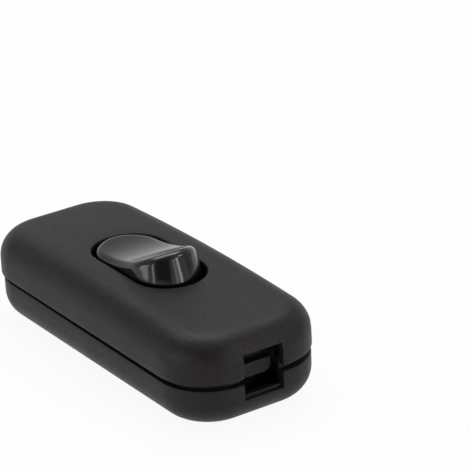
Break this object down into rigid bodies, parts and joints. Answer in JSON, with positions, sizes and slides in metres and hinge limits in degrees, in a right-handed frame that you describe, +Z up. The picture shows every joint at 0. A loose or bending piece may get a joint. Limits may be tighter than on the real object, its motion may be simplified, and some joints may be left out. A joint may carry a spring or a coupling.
{
  "type": "inline cord switch",
  "caption": "Inline cord switch in a rounded two-part plastic housing, with a dished rocker on top, a cord entry at each end, and contacts, terminals and cord clamps inside.",
  "frame": {"origin": "centre of the housing's underside", "axes": "+X along the cord towards the end where the rocker stands up at rest, +Y towards the housing's left long side, +Z up out of the rocker"},
  "size_m": [0.06, 0.0252, 0.019],
  "materials": {
    "housing_plastic": "fine satin grain, black",
    "clamp_plastic": "satin, black",
    "rocker_plastic": "polished, black",
    "plunger_plastic": "satin, natural",
    "spring_steel": "drawn wire",
    "contact_silver": "polished",
    "contact_brass": "satin",
    "zinc_steel": "bright zinc plate"
  },
  "bodies": {
    "housing": {"common_contact_strip": "contact_brass", "common_terminal": "contact_brass", "common_terminal_screw": "zinc_steel", "contact_pivot_pin": "zinc_steel", "far_clamp_screw_left": "zinc_steel", "far_clamp_screw_right": "zinc_steel", "far_cord_clamp": "clamp_plastic", "fixed_contact_tip": "contact_silver", "housing_screw_far": "zinc_steel", "housing_screw_near": "zinc_steel", "lower_shell": "housing_plastic", "near_clamp_screw_left": "zinc_steel", "near_clamp_screw_right": "zinc_steel", "near_cord_clamp": "clamp_plastic", "switched_contact_strip": "contact_brass", "switched_terminal": "contact_brass", "switched_terminal_screw": "zinc_steel", "through_terminal": "contact_brass", "through_terminal_screw_far": "zinc_steel", "through_terminal_screw_near": "zinc_steel", "upper_shell": "housing_plastic"},
    "rocker": {"rocker": "rocker_plastic", "plunger_spring": "spring_steel"},
    "plunger": {"plunger": "plunger_plastic"},
    "seesaw": {"moving_contact": "contact_brass", "moving_contact_tip": "contact_silver"}
  },
  "joints": [
    {"name": "rocker_turn", "type": "hinge", "parent": "housing", "child": "rocker", "pos_m": [0, 0, 0.0116], "axis": [0, 1, 0], "range_deg": [0, 23.8]},
    {"name": "seesaw_turn", "type": "hinge", "parent": "housing", "child": "seesaw", "pos_m": [0, 0, 0.0046], "axis": [0, 1, 0], "range_deg": [-11.9, 0]},
    {"name": "plunger_slide", "type": "slide", "parent": "rocker", "child": "plunger", "axis": [-0.2062, 0, 0.9785], "range_m": [0, 0.0005], "stiffness_N_per_m": 400, "springref_m": -0.0015, "deforming": ["plunger_spring"]}
  ],
  "couplings": [
    {"joint": "seesaw_turn", "follows": "rocker_turn", "ratio": -0.5}
  ]
}
